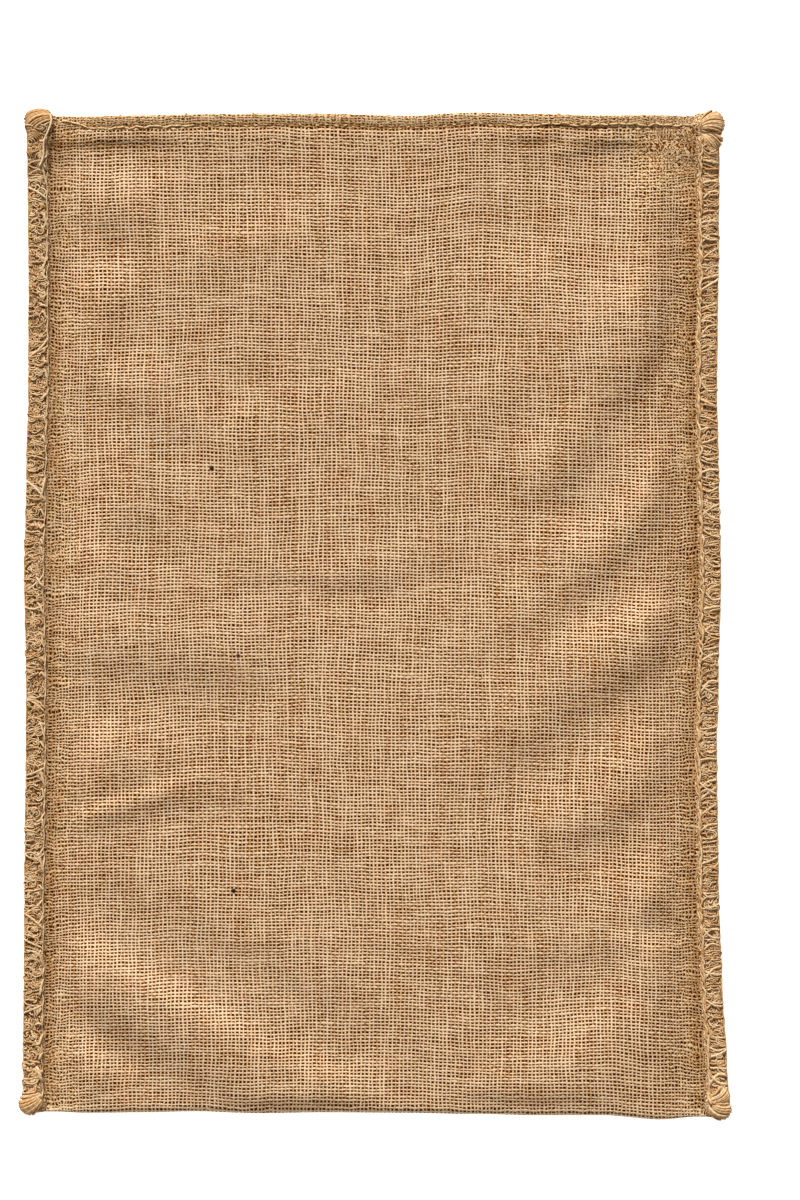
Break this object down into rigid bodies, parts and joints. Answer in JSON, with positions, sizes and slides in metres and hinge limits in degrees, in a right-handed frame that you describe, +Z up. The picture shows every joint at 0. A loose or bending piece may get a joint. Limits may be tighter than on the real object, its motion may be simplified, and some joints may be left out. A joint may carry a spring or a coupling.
{
  "type": "jute sack",
  "caption": "Flat empty sack of woven hessian: folded at the bottom, sewn up along its sides with thick yarn, and open along its hemmed mouth.",
  "frame": {"origin": "middle of the sack's underside, on the surface that it lies on", "axes": "+X across the sack to its right seam, +Y along the sack to its mouth, +Z up out of its front"},
  "size_m": [0.7105, 1.0126, 0.0224],
  "materials": {
    "hessian": "natural jute, plain weave, matt and slightly hairy",
    "seam_yarn": "thick natural jute yarn, sewn over the edge, matt",
    "loose_yarn": "thin pale jute yarn, matt"
  },
  "bodies": {
    "root": {"sack_cloth": "hessian", "seam_left": "seam_yarn", "seam_right": "seam_yarn", "thread_tail": "loose_yarn"}
  },
  "joints": []
}
